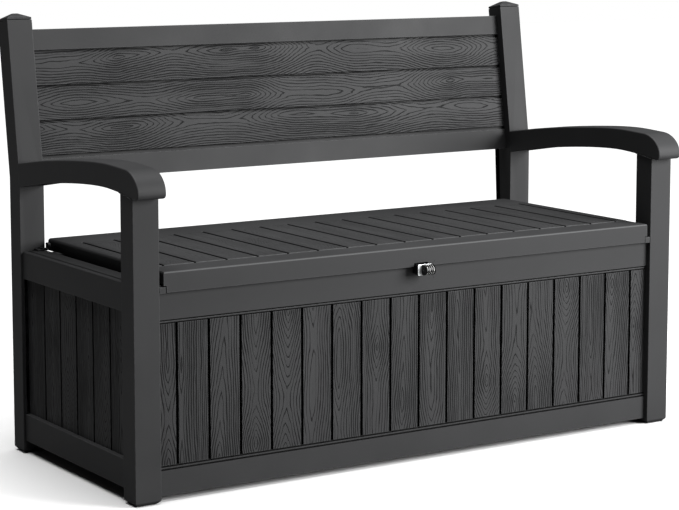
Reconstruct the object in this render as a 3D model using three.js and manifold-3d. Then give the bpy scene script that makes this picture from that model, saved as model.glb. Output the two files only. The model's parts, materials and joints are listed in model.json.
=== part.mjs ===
// Storage bench in moulded resin: a box with a hinged seat lid, two armrests and a raked back.
// Millimetres, +Z up, +X to the bench's right, front towards -Y.
// The front posts' front faces lie at y = 0 in the layout; the finished group is then centred on the origin.
import * as THREE from "three";
import { mergeVertices } from "three/addons/utils/BufferGeometryUtils.js";
import Module from "manifold-3d";

const wasm = await Module();
wasm.setup();

// ---------------------------------------------------------------- driving sizes
const BENCH_WIDTH = 1270; // over the posts
const SEAT_DEPTH = 484; // front face of the front posts to front face of the rear posts
const SEAT_HEIGHT = 431; // top of the lid
const POST_WIDTH = 53.5;
const FRONT_POST_DEPTH = 48;
const REAR_POST_DEPTH = 46;
const POST_WALL = 4;
const FOOT_CHAMFER = 7;
const BEND_HEIGHT = 557; // where the rear posts start to lean
const RAKE = THREE.MathUtils.degToRad(8.1);
const RAKED_LENGTH = 317; // rear post above the bend, cap rim included
const GAP = 0.4; // between faces that meet
const SLOT_GAP = 0.5; // around a tongue in its slot

const CAP_RIM = 4;
const CAP_RISE = 9.5;
const CAP_FLAT = 11;
const CAP_PLUG = 22;

const ARM_OVERHANG_OUT = 2.5;
const ARM_OVERHANG_IN = 2.5;
const ARM_PEAK_RISE = 191; // arm's highest line above the seat
const ARM_DEPTH = 45;
const ARM_DROP = 36.5; // how far the arm falls towards the rear post
const ARM_NOSE_REACH = 26; // in front of the front post
const ARM_NOSE_LENGTH = 56;
const ARM_NOSE_HEIGHT = 43;
const ARM_NOSE_SETBACK = 3; // nose's crown below the arm's highest line
const ARM_NOSE_CURL = 11; // how far the nose hangs under the arm's underside
const ARM_WALL = 4;
const ARM_TENON = 45;
const ARM_PEG = 12;
const ARM_STEPS = 12;

const PANEL_WALL = 3.5;
const PLANK_WALL = 9.5;
const GROOVE_WIDTH = 5.4;
const GROOVE_DEPTH = 7;
const BEAD_HEIGHT = 5.4;
const BEAD_QUIRK = [2.2, 3.5]; // width and depth of the fine groove along each edge of a bead
const TONGUE_LENGTH = 9;
const TONGUE_THICKNESS = 7;
const TONGUE_HEIGHT = 60;
const FLOOR_LEDGE = 12;

const FRONT_FACE = 10; // front rails behind the posts' front faces
const FRONT_STEP = 2; // rail to bead, and bead to planks
const FRONT_THICKNESS = 20;
const FRONT_BOTTOM = 12;
const FRONT_RAIL_LOW = 50;
const FRONT_RAIL_HIGH = 54; // part of the top rail that shows under the lid's lip
const FRONT_PLANKS = 18;
const PLANK_PITCH = 67.5;

const SIDE_FACE = 5; // side rails inside the posts' outer faces
const SIDE_RECESS = 9.5; // planks behind the side rails
const SIDE_THICKNESS = 22.5;
const SIDE_BOTTOM = 26;
const SIDE_RAIL_LOW = 54.5;
const SIDE_RAIL_HIGH = 54.5;
const SIDE_PLANKS = 6;
const SIDE_PITCH = 71;
const SIDE_PLANK_WALL = 7;
const SIDE_GROOVE_DEPTH = 4.5;
const LEDGE_BELOW_SEAT = 21.5;
const LEDGE_ROUND = 5;
const GUTTER_DROP = 7.5;
const GUTTER_WALL = 4;

const REAR_GAP = 20; // rear panel behind the rear posts' front faces
const REAR_THICKNESS = 20;
const REAR_TOP_BELOW_SEAT = 34;

const FLOOR_THICKNESS = 5;

const LID_SIDE_GAP = 8.5; // lid to the posts
const LID_REAR_OVERRUN = 4; // lid's rear edge behind the rear posts' front faces
const LID_PLATE = 8;
const LID_WALL = 5;
const LIP_DEPTH = 40;
const SKIRT_DEPTH = 24;
const LID_BAND_STEP = 1.2;
const LID_EDGE = 3; // rounding of the front top edge
const LID_CORNER = 6; // rounding of the top at each end
const LID_FRONT_BAND = 64;
const LID_GROOVE_LENGTH = 337;
const LID_GROOVE_WIDTH = 4.8;
const LID_GROOVE_DEPTH = 6;
const LID_NOTCH = [6, 13]; // width and height of the notch at each end of the lip
const LID_RECESS = [62, 16, 3.2]; // recess in the skirt: its ends ahead of the hinge axis, and its depth
const LINER_PLATE = 3.5;
const LINER_BELOW_SEAT = 25;
const FRONT_BELOW_LID = 7; // front panel's top under the lid's plate
const LINER_INSET = 22;
const LINER_FRONT = 70;

const HINGE_AHEAD = 6; // hinge axis in front of the rear posts
const HINGE_BELOW_SEAT = 15;
const PIN_RADIUS = 4;
const PIN_LENGTH = 31;
const PIN_CLEARANCE = 0.3;
const KNUCKLE_RADIUS = 8.5;
const BRACKET_THICKNESS = 6;
const BRACKET_WIDTH = 17;
const BRACKET_FOOT = 24;
const SCREW_RADIUS = 2.2;
const SCREW_HEAD = [4.2, 2];
const SCREW_BITE = 3.5;

const BACK_RECESS = 17; // backrest behind the raked posts' front faces
const BACK_THICKNESS = 22;
const BACK_BELOW_BEND = 9.7;
const BACK_RAIL_LOW = 50;
const BACK_BOARD = 70;
const BACK_BOARDS = 3;
const BACK_RAIL_HIGH = 43.5;
const BACK_GROOVE = [7.6, 4.5, 2.2]; // height, depth and how far it lies below the boards' meeting line
const BACK_BOARD_STEP = 1.5;
const BACK_WALL = 4;
const PEG_SIZE = [22, 9, 30]; // length, thickness and height of a backrest peg

const LOCK_DROP = 45; // lock's axis below the seat
const LOCK_SHIFT = -5; // lock's block, plate and base lie this far to one side of its axis
const LOCK_BASE = [28, 20, 1]; // fixed base: width, height and how far it stands in front of the posts
const LOCK_KNOB = [32.8, 20, 10.7]; // turning block: width, height and how far it stands in front of the posts
const LOCK_PLATE = [32.8, 22, 2];
const LOCK_BARREL = 7;
const LOCK_CLEARANCE = 2.5;
const SPINDLE_RADIUS = 4;
const DRUM_RADIUS = 10.2; // cheeks that hold the number wheels
const DRUM_PROUD = 4; // wheels' axle in front of the plate
const CHEEK = 1.2;
const WHEELS = 4;
const WHEEL_RADIUS = 9.9;
const WHEEL_WIDTH = 4.5;
const WHEEL_PITCH = 4.9;
const WHEEL_BORE = 1.3;
const WHEEL_ROOM = 0.4; // between the wheels and the knob
const AXLE_RADIUS = 1;
const CAM_SIZE = [9, 2.5, 26]; // width, thickness and reach
const NUT_ACROSS = 20;
const NUT_THICKNESS = 3.5;
const STRIKE_WIDTH = 16;
const STRIKE_OFFSET = 26; // strike's middle to the lock's axis
const STRIKE_THICKNESS = 3;

// ---------------------------------------------------------------- places worked out from them
const halfWidth = BENCH_WIDTH / 2;
const postInside = halfWidth - POST_WIDTH;
const panelHalf = postInside - GAP;
const lidHalf = postInside - LID_SIDE_GAP;
const lidRear = SEAT_DEPTH + LID_REAR_OVERRUN;
const lipBottom = SEAT_HEIGHT - LIP_DEPTH;
const skirtBottom = SEAT_HEIGHT - SKIRT_DEPTH;
const ledgeTop = SEAT_HEIGHT - LEDGE_BELOW_SEAT;
const gutterTop = ledgeTop - GUTTER_DROP;
const frontTop = SEAT_HEIGHT - LID_PLATE - FRONT_BELOW_LID;
const frontBack = FRONT_FACE + FRONT_THICKNESS;
const frontPlankTop = lipBottom - FRONT_RAIL_HIGH - BEAD_HEIGHT;
const frontPlankBottom = FRONT_BOTTOM + FRONT_RAIL_LOW + BEAD_HEIGHT;
const rearFront = SEAT_DEPTH + REAR_GAP;
const rearBack = rearFront + REAR_THICKNESS;
const rearTop = SEAT_HEIGHT - REAR_TOP_BELOW_SEAT;
const sideBack = SIDE_FACE + SIDE_THICKNESS;
const floorBottom = SIDE_BOTTOM + 2 + GAP;
const hingeY = SEAT_DEPTH - HINGE_AHEAD;
const hingeZ = SEAT_HEIGHT - HINGE_BELOW_SEAT;
const lockZ = SEAT_HEIGHT - LOCK_DROP;
const knobFront = -LOCK_KNOB[2];
const knobBack = -LOCK_BASE[2] - GAP;
const plateFront = knobFront - GAP - LOCK_PLATE[2];
const drumY = plateFront - DRUM_PROUD;
const drumHalf = (WHEELS * WHEEL_PITCH) / 2 + WHEEL_ROOM;
const nutBack = frontBack + GAP + NUT_THICKNESS;
const camFront = nutBack + 0.6;
const camBack = camFront + CAM_SIZE[1];
const strikeFront = camBack + 2;
const strikeTop = SEAT_HEIGHT - LID_PLATE - GAP;
const strikeScrewY = strikeFront + 11;
const strikeScrews = [-1, 1].map((way) => STRIKE_OFFSET + way * (STRIKE_WIDTH / 2 + 4));
const armPeak = SEAT_HEIGHT + ARM_PEAK_RISE;
const armUnder = armPeak - ARM_DEPTH;
const armOutside = halfWidth + ARM_OVERHANG_OUT;
const armInside = postInside - ARM_OVERHANG_IN;
const backTop = BACK_RAIL_LOW + BACK_BOARDS * BACK_BOARD + BACK_RAIL_HIGH - BACK_BELOW_BEND;
const postTopBack = new THREE.Vector2(
  SEAT_DEPTH + RAKED_LENGTH * Math.sin(RAKE) + REAR_POST_DEPTH * Math.cos(RAKE),
  BEND_HEIGHT + RAKED_LENGTH * Math.cos(RAKE) - REAR_POST_DEPTH * Math.sin(RAKE),
);

// ---------------------------------------------------------------- solids
function solid(geometry) {
  const bare = geometry.clone();
  for (const name of Object.keys(bare.attributes)) if (name !== "position") bare.deleteAttribute(name);
  const merged = mergeVertices(bare.index ? bare.toNonIndexed() : bare, 1e-4);
  return new wasm.Manifold(
    new wasm.Mesh({
      numProp: 3,
      vertProperties: new Float32Array(merged.attributes.position.array),
      triVerts: new Uint32Array(merged.index.array),
    }),
  );
}

function geometryOf(manifold) {
  const mesh = manifold.getMesh();
  const geometry = new THREE.BufferGeometry();
  geometry.setAttribute("position", new THREE.BufferAttribute(new Float32Array(mesh.vertProperties), 3));
  geometry.setIndex(new THREE.BufferAttribute(new Uint32Array(mesh.triVerts), 1));
  const flat = geometry.toNonIndexed();
  flat.computeVertexNormals();
  return flat;
}

function box(x0, x1, y0, y1, z0, z1) {
  const geometry = new THREE.BoxGeometry(x1 - x0, y1 - y0, z1 - z0);
  geometry.translate((x0 + x1) / 2, (y0 + y1) / 2, (z0 + z1) / 2);
  return solid(geometry);
}

// A box whose lower or upper face is drawn in on all four sides.
function frustum(x0, x1, y0, y1, z0, z1, insetLow, insetHigh) {
  const geometry = new THREE.BoxGeometry(1, 1, 1);
  const place = geometry.attributes.position;
  for (let i = 0; i < place.count; i++) {
    const high = place.getZ(i) > 0;
    const [insetX, insetY] = high ? insetHigh : insetLow;
    place.setXYZ(
      i,
      place.getX(i) < 0 ? x0 + insetX : x1 - insetX,
      place.getY(i) < 0 ? y0 + insetY : y1 - insetY,
      high ? z1 : z0,
    );
  }
  return solid(geometry);
}

function rod(axis, radius, from, to, a, b, sides = 32) {
  const geometry = new THREE.CylinderGeometry(radius, radius, to - from, sides);
  const middle = (from + to) / 2;
  if (axis === "x") geometry.rotateZ(Math.PI / 2).translate(middle, a, b);
  if (axis === "y") geometry.translate(a, middle, b);
  if (axis === "z") geometry.rotateX(Math.PI / 2).translate(a, b, middle);
  return solid(geometry);
}

function outline(points) {
  return points instanceof THREE.Shape ? points : new THREE.Shape(points.map(([u, v]) => new THREE.Vector2(u, v)));
}

// An outline in the YZ plane, drawn out along X.
function alongX(points, x0, x1, holes = []) {
  const shape = outline(points);
  for (const hole of holes) shape.holes.push(outline(hole));
  const geometry = new THREE.ExtrudeGeometry(shape, { depth: x1 - x0, bevelEnabled: false, curveSegments: 18 });
  const turn = new THREE.Matrix4().makeBasis(
    new THREE.Vector3(0, 1, 0),
    new THREE.Vector3(0, 0, 1),
    new THREE.Vector3(1, 0, 0),
  );
  geometry.applyMatrix4(turn).translate(x0, 0, 0);
  return solid(geometry);
}

// An outline in the XZ plane, drawn out along Y.
function alongY(points, y0, y1, holes = []) {
  const shape = outline(points);
  for (const hole of holes) shape.holes.push(outline(hole));
  const geometry = new THREE.ExtrudeGeometry(shape, { depth: y1 - y0, bevelEnabled: false, curveSegments: 8 });
  geometry.rotateX(Math.PI / 2).translate(0, y1, 0);
  return solid(geometry);
}

function rectangle(u0, u1, v0, v1) {
  return [
    [u0, v0],
    [u1, v0],
    [u1, v1],
    [u0, v1],
  ];
}

function roundedRectangle(width, height, radius, centreU = 0, centreV = 0) {
  const shape = new THREE.Shape();
  const left = centreU - width / 2;
  const right = centreU + width / 2;
  const low = centreV - height / 2;
  const high = centreV + height / 2;
  shape.moveTo(left + radius, low);
  shape.lineTo(right - radius, low);
  shape.absarc(right - radius, low + radius, radius, -Math.PI / 2, 0);
  shape.lineTo(right, high - radius);
  shape.absarc(right - radius, high - radius, radius, 0, Math.PI / 2);
  shape.lineTo(left + radius, high);
  shape.absarc(left + radius, high - radius, radius, Math.PI / 2, Math.PI);
  shape.lineTo(left, low + radius);
  shape.absarc(left + radius, low + radius, radius, Math.PI, 1.5 * Math.PI);
  return shape;
}

function joined(first, ...rest) {
  return rest.reduce((sum, next) => sum.add(next), first);
}

function cut(body, ...tools) {
  return tools.reduce((left, tool) => left.subtract(tool), body);
}

// ---------------------------------------------------------------- nodes
const resin = { color: 0x2f3133, roughness: 0.62, metalness: 0 };
const blackPlastic = { color: 0x0b0b0c, roughness: 0.4, metalness: 0 };
const steel = { color: 0xc9cbcc, roughness: 0.3, metalness: 1 };

const bench = new THREE.Group();
const leaning = new THREE.Group(); // frame of the raked posts: +Z runs up along them from the bend
leaning.position.set(0, SEAT_DEPTH, BEND_HEIGHT);
leaning.rotation.x = -RAKE;
bench.add(leaning);

function piece(name, body, finish, parent = bench) {
  const mesh = new THREE.Mesh(geometryOf(body), new THREE.MeshStandardMaterial(finish));
  mesh.name = name;
  parent.add(mesh);
}

function mirrored(body, side) {
  return side < 0 ? body : body.mirror([1, 0, 0]);
}

const sides = [
  ["left", -1],
  ["right", 1],
];

// ---------------------------------------------------------------- tongues that join panels to posts
const tongueHeights = [
  [SIDE_BOTTOM + 12, SIDE_BOTTOM + 12 + TONGUE_HEIGHT],
  [lipBottom - 30 - TONGUE_HEIGHT, lipBottom - 30],
];
const frontTongueY = frontBack - PANEL_WALL - TONGUE_THICKNESS;
const rearTongueY = rearFront + PANEL_WALL;
const sideTongueX = -halfWidth + sideBack - PANEL_WALL - TONGUE_THICKNESS;

// Two tongues on a panel's left end, or the slots for them when they are drawn larger.
function tonguesAlongX(y, grow) {
  const reach = TONGUE_LENGTH + (grow > 0 ? POST_WALL : 0);
  const [low, high] = tongueHeights.map(([z0, z1]) =>
    box(-panelHalf - reach, -panelHalf + 1, y - grow, y + TONGUE_THICKNESS + grow, z0 - grow, z1 + grow));
  return low.add(high);
}

function tonguesAlongY(y0, y1, grow) {
  const x = sideTongueX;
  const [low, high] = tongueHeights.map(([z0, z1]) =>
    box(x - grow, x + TONGUE_THICKNESS + grow, y0, y1, z0 - grow, z1 + grow));
  return low.add(high);
}

// ---------------------------------------------------------------- armrest outline
const noseCentreY = ARM_NOSE_LENGTH - ARM_NOSE_REACH;
const noseCentreZ = armPeak - ARM_NOSE_SETBACK - ARM_NOSE_HEIGHT;
const noseBottom = armUnder - ARM_NOSE_CURL;
const armRearTop = armPeak - ARM_DROP;
const armRearUnder = armUnder - ARM_DROP - 2.5;

function postFaceY(z) {
  return SEAT_DEPTH + Math.max(0, z - BEND_HEIGHT) * Math.tan(RAKE);
}

// The top line behind the nose, from front to back; the shares place its bends along the seat's depth.
const armTopLine = new THREE.SplineCurve([
  new THREE.Vector2(noseCentreY, noseCentreZ + ARM_NOSE_HEIGHT),
  new THREE.Vector2(SEAT_DEPTH * 0.22, armPeak),
  new THREE.Vector2(SEAT_DEPTH * 0.42, armPeak - ARM_DROP * 0.12),
  new THREE.Vector2(SEAT_DEPTH * 0.72, armPeak - ARM_DROP * 0.48),
  new THREE.Vector2(postFaceY(armRearTop) - GAP, armRearTop),
]);
// The underside, from the rear post to the front post.
const armUnderLine = new THREE.SplineCurve([
  new THREE.Vector2(postFaceY(armRearUnder) - GAP, armRearUnder),
  new THREE.Vector2(SEAT_DEPTH * 0.78, armUnder - ARM_DROP * 0.6),
  new THREE.Vector2(SEAT_DEPTH * 0.6, armUnder - ARM_DROP * 0.3),
  new THREE.Vector2(SEAT_DEPTH * 0.4, armUnder - ARM_DROP * 0.07),
  new THREE.Vector2(SEAT_DEPTH * 0.23, armUnder + 0.5),
  new THREE.Vector2(FRONT_POST_DEPTH, armUnder - ARM_NOSE_CURL * 0.3),
  new THREE.Vector2(0, noseBottom + 1),
]);

function armOutline() {
  const points = [];
  for (let i = 0; i <= ARM_STEPS; i++) {
    const angle = Math.PI - (i / ARM_STEPS) * (Math.PI / 2);
    points.push([
      noseCentreY + ARM_NOSE_LENGTH * Math.cos(angle),
      noseCentreZ + ARM_NOSE_HEIGHT * Math.sin(angle),
    ]);
  }
  for (const point of armTopLine.getPoints(ARM_STEPS * 2).slice(1)) points.push([point.x, point.y]);
  if (armRearTop > BEND_HEIGHT && armRearUnder < BEND_HEIGHT) points.push([SEAT_DEPTH - GAP, BEND_HEIGHT]);
  for (const point of armUnderLine.getPoints(ARM_STEPS * 2)) points.push([point.x, point.y]);
  const curl = new THREE.QuadraticBezierCurve(
    new THREE.Vector2(-ARM_NOSE_REACH * 0.55, noseBottom),
    new THREE.Vector2(-ARM_NOSE_REACH, noseBottom),
    new THREE.Vector2(-ARM_NOSE_REACH, noseCentreZ),
  );
  for (const point of curl.getPoints(ARM_STEPS / 2).slice(0, -1)) points.push([point.x, point.y]);
  return points;
}

// The hollow under the arm's top, open below between the two posts.
function armHollow() {
  const from = FRONT_POST_DEPTH + ARM_WALL + GAP;
  const to = SEAT_DEPTH - ARM_WALL * 2;
  const points = armTopLine
    .getPoints(ARM_STEPS * 2)
    .filter((point) => point.x > from && point.x < to)
    .map((point) => [point.x, point.y - ARM_WALL]);
  points.push([to, armRearUnder - 1], [from, armRearUnder - 1]);
  return points;
}

const armSeatZ = armUnder; // the front post's top inside the arm

// ---------------------------------------------------------------- posts, caps and armrests
function frontPost() {
  const top = armSeatZ - GAP;
  const inner = [-halfWidth + POST_WALL, -postInside - POST_WALL, POST_WALL, FRONT_POST_DEPTH - POST_WALL];
  return cut(
    joined(
      box(-halfWidth, -postInside, 0, FRONT_POST_DEPTH, FOOT_CHAMFER, top),
      frustum(
        -halfWidth, -postInside, 0, FRONT_POST_DEPTH, 0, FOOT_CHAMFER + 0.01,
        [FOOT_CHAMFER, FOOT_CHAMFER], [0, 0],
      ),
    ),
    box(...inner, FOOT_CHAMFER + POST_WALL, top + 1),
    tonguesAlongX(frontTongueY, SLOT_GAP),
    tonguesAlongY(FRONT_POST_DEPTH - TONGUE_LENGTH - POST_WALL, FRONT_POST_DEPTH + 1, SLOT_GAP),
  );
}

function rearPostOutline(inset, top) {
  const front = SEAT_DEPTH + inset;
  const back = SEAT_DEPTH + REAR_POST_DEPTH - inset;
  const bendFront = BEND_HEIGHT - inset * Math.tan(RAKE / 2);
  const bendBack = BEND_HEIGHT - (REAR_POST_DEPTH - inset) * Math.tan(RAKE / 2);
  const up = new THREE.Vector2(Math.sin(RAKE), Math.cos(RAKE));
  const foot = inset > 0 ? FOOT_CHAMFER + POST_WALL : FOOT_CHAMFER;
  const climb = (y, z, length) => [y + up.x * length, z + up.y * length];
  return [
    [front, foot],
    [back, foot],
    [back, bendBack],
    climb(back, bendBack, top - (REAR_POST_DEPTH - inset) * Math.tan(RAKE / 2)),
    climb(front, bendFront, top - inset * Math.tan(RAKE / 2)),
    [front, bendFront],
  ];
}

const pegHeights = [BACK_RAIL_LOW / 2 - BACK_BELOW_BEND, backTop - BACK_RAIL_HIGH / 2];

function leaningBox(x0, x1, y0, y1, z0, z1) {
  return box(x0, x1, y0, y1, z0, z1)
    .rotate([-THREE.MathUtils.radToDeg(RAKE), 0, 0])
    .translate([0, SEAT_DEPTH, BEND_HEIGHT]);
}

function pegBox(height, from, to, grow) {
  const middle = BACK_RECESS + BACK_THICKNESS / 2;
  return [
    from, to,
    middle - PEG_SIZE[1] / 2 - grow, middle + PEG_SIZE[1] / 2 + grow,
    height - PEG_SIZE[2] / 2 - grow, height + PEG_SIZE[2] / 2 + grow,
  ];
}

const armPegZ = (armRearTop + armRearUnder) / 2;

function armPeg(grow) {
  return box(
    -halfWidth + POST_WIDTH / 2 - 14 - grow,
    -halfWidth + POST_WIDTH / 2 + 14 + grow,
    SEAT_DEPTH - 12,
    SEAT_DEPTH + ARM_PEG + grow,
    armPegZ - 9 - grow,
    armPegZ + 9 + grow,
  );
}

function rearPost() {
  const length = RAKED_LENGTH - CAP_RIM - GAP;
  return cut(
    joined(
      alongX(rearPostOutline(0, length), -halfWidth, -postInside),
      frustum(
        -halfWidth, -postInside, SEAT_DEPTH, SEAT_DEPTH + REAR_POST_DEPTH, 0, FOOT_CHAMFER + 0.01,
        [FOOT_CHAMFER, FOOT_CHAMFER], [0, 0],
      ),
    ),
    alongX(rearPostOutline(POST_WALL, length + 5), -halfWidth + POST_WALL, -postInside - POST_WALL),
    tonguesAlongX(rearTongueY, SLOT_GAP),
    tonguesAlongY(SEAT_DEPTH - 1, SEAT_DEPTH + TONGUE_LENGTH + POST_WALL, SLOT_GAP),
    armPeg(SLOT_GAP),
    ...pegHeights.map((height) =>
      leaningBox(...pegBox(height, -postInside - POST_WALL - PEG_SIZE[0] / 2, -postInside + 1, SLOT_GAP))),
  );
}

function cap() {
  const rim = [-halfWidth, -postInside, 0, REAR_POST_DEPTH];
  const plug = POST_WALL + SLOT_GAP;
  return joined(
    box(...rim, RAKED_LENGTH - CAP_RIM, RAKED_LENGTH),
    frustum(
      ...rim, RAKED_LENGTH - 0.01, RAKED_LENGTH + CAP_RISE,
      [0, 0], [(POST_WIDTH - CAP_FLAT) / 2, (REAR_POST_DEPTH - CAP_FLAT) / 2],
    ),
    cut(
      box(
        -halfWidth + plug, -postInside - plug, plug, REAR_POST_DEPTH - plug,
        RAKED_LENGTH - CAP_RIM - CAP_PLUG, RAKED_LENGTH - CAP_RIM + 0.01,
      ),
      box(
        -halfWidth + plug + PANEL_WALL, -postInside - plug - PANEL_WALL,
        plug + PANEL_WALL, REAR_POST_DEPTH - plug - PANEL_WALL,
        RAKED_LENGTH - CAP_RIM - CAP_PLUG - 1, RAKED_LENGTH - CAP_RIM - 1,
      ),
    ),
  );
}

function armrest() {
  const tenonGap = POST_WALL + SLOT_GAP;
  const tenonWall = tenonGap + ARM_WALL;
  const postRoom = box(
    -halfWidth - GAP, -postInside + GAP,
    -GAP, FRONT_POST_DEPTH + GAP,
    noseBottom - 5, armSeatZ,
  );
  return joined(
    cut(
      alongX(armOutline(), -armOutside, -armInside),
      alongX(armHollow(), -armOutside + ARM_WALL, -armInside - ARM_WALL),
      postRoom,
    ),
    cut(
      box(
        -halfWidth + tenonGap, -postInside - tenonGap,
        tenonGap, FRONT_POST_DEPTH - tenonGap,
        armSeatZ - ARM_TENON, armSeatZ + 1,
      ),
      box(
        -halfWidth + tenonWall, -postInside - tenonWall,
        tenonWall, FRONT_POST_DEPTH - tenonWall,
        armSeatZ - ARM_TENON - 1, armSeatZ,
      ),
    ),
    armPeg(0),
  );
}

for (const [side, sign] of sides) {
  piece(`front_post_${side}`, mirrored(frontPost(), sign), resin);
  piece(`rear_post_${side}`, mirrored(rearPost(), sign), resin);
  piece(`post_cap_${side}`, mirrored(cap(), sign), resin, leaning);
  piece(`armrest_${side}`, mirrored(armrest(), sign), resin);
}

// ---------------------------------------------------------------- box panels
function verticalGrooves(count, pitch, bottom, top, y0, y1) {
  const grooves = [];
  for (let i = 0; i < count; i++) {
    const x = (i - (count - 1) / 2) * pitch;
    grooves.push(box(x - GROOVE_WIDTH / 2, x + GROOVE_WIDTH / 2, y0, y1, bottom, top));
  }
  return grooves;
}

// The fine grooves along both edges of the upper and lower beads; inward points into the panel.
function beadQuirks(face, inward) {
  const [width, depth] = BEAD_QUIRK;
  const rows = [
    [frontPlankTop, 2],
    [frontPlankTop + BEAD_HEIGHT, 1],
    [frontPlankBottom - width, 2],
    [frontPlankBottom - BEAD_HEIGHT - width, 1],
  ];
  return rows.map(([z, steps]) => {
    const bottom = face + inward * (steps * FRONT_STEP + depth);
    return box(-panelHalf - 1, panelHalf + 1, Math.min(face - inward, bottom), Math.max(face - inward, bottom), z, z + width);
  });
}

function frontPanel() {
  const bead = FRONT_FACE + FRONT_STEP;
  const plank = bead + FRONT_STEP;
  const railLow = frontPlankBottom - BEAD_HEIGHT;
  const railHigh = frontPlankTop + BEAD_HEIGHT;
  const ledge = floorBottom - GAP;
  const shell = alongX(
    [
      [FRONT_FACE, FRONT_BOTTOM],
      [frontBack, FRONT_BOTTOM],
      [frontBack, ledge - 4],
      [frontBack + FLOOR_LEDGE, ledge - 4],
      [frontBack + FLOOR_LEDGE, ledge],
      [frontBack, ledge],
      [frontBack, frontTop],
      [FRONT_FACE, frontTop],
      [FRONT_FACE, railHigh],
      [bead, railHigh],
      [bead, frontPlankTop],
      [plank, frontPlankTop],
      [plank, frontPlankBottom],
      [bead, frontPlankBottom],
      [bead, railLow],
      [FRONT_FACE, railLow],
    ],
    -panelHalf,
    panelHalf,
    [
      rectangle(FRONT_FACE + PANEL_WALL, frontBack - PANEL_WALL, FRONT_BOTTOM + PANEL_WALL, railLow - 4),
      rectangle(plank + PLANK_WALL, frontBack - PANEL_WALL, frontPlankBottom + 4, frontPlankTop - 4),
      rectangle(FRONT_FACE + PANEL_WALL, frontBack - PANEL_WALL, railHigh + 4, frontTop - PANEL_WALL),
    ],
  );
  const stopWidth = LID_SIDE_GAP + LID_NOTCH[0] - 1.5;
  const stop = box(
    -panelHalf, -panelHalf + stopWidth - GAP,
    0.5, FRONT_FACE + 0.5,
    lipBottom - 1, lipBottom + LID_NOTCH[1] - 2,
  );
  const tongue = tonguesAlongX(frontTongueY, 0);
  const skirtRoom = box(
    -panelHalf - 1, -lidHalf + LID_WALL + 3,
    FRONT_FACE - 1, frontBack + 1,
    skirtBottom - 3, frontTop + 1,
  );
  return cut(
    joined(shell, stop, stop.mirror([1, 0, 0]), tongue, tongue.mirror([1, 0, 0])),
    skirtRoom,
    skirtRoom.mirror([1, 0, 0]),
    ...verticalGrooves(
      FRONT_PLANKS - 1, PLANK_PITCH, frontPlankBottom, frontPlankTop, FRONT_FACE, plank + GROOVE_DEPTH,
    ),
    ...beadQuirks(FRONT_FACE, 1),
    rod("y", LOCK_BARREL + PIN_CLEARANCE, 0, frontBack + 1, 0, lockZ),
  );
}

function rearPanel() {
  const bead = rearBack - FRONT_STEP;
  const plank = bead - FRONT_STEP;
  const railLow = frontPlankBottom - BEAD_HEIGHT;
  const railHigh = frontPlankTop + BEAD_HEIGHT;
  const ledge = floorBottom - GAP;
  const flange = SEAT_DEPTH - 6;
  const shell = alongX(
    [
      [rearBack, FRONT_BOTTOM],
      [rearBack, railLow],
      [bead, railLow],
      [bead, frontPlankBottom],
      [plank, frontPlankBottom],
      [plank, frontPlankTop],
      [bead, frontPlankTop],
      [bead, railHigh],
      [rearBack, railHigh],
      [rearBack, rearTop],
      [flange, rearTop],
      [flange, rearTop - PANEL_WALL],
      [rearFront, rearTop - PANEL_WALL],
      [rearFront, ledge],
      [rearFront - FLOOR_LEDGE, ledge],
      [rearFront - FLOOR_LEDGE, ledge - 4],
      [rearFront, ledge - 4],
      [rearFront, FRONT_BOTTOM],
    ],
    -panelHalf,
    panelHalf,
    [
      rectangle(rearFront + PANEL_WALL, rearBack - PANEL_WALL, FRONT_BOTTOM + PANEL_WALL, railLow - 4),
      rectangle(rearFront + PANEL_WALL, plank - PLANK_WALL, frontPlankBottom + 4, frontPlankTop - 4),
      rectangle(rearFront + PANEL_WALL, rearBack - PANEL_WALL, railHigh + 4, rearTop - PANEL_WALL),
    ],
  );
  const tongue = tonguesAlongX(rearTongueY, 0);
  return cut(
    joined(shell, tongue, tongue.mirror([1, 0, 0])),
    ...verticalGrooves(
      FRONT_PLANKS - 1, PLANK_PITCH, frontPlankBottom, frontPlankTop, plank - GROOVE_DEPTH, rearBack,
    ),
    ...beadQuirks(rearBack, -1),
  );
}

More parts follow.
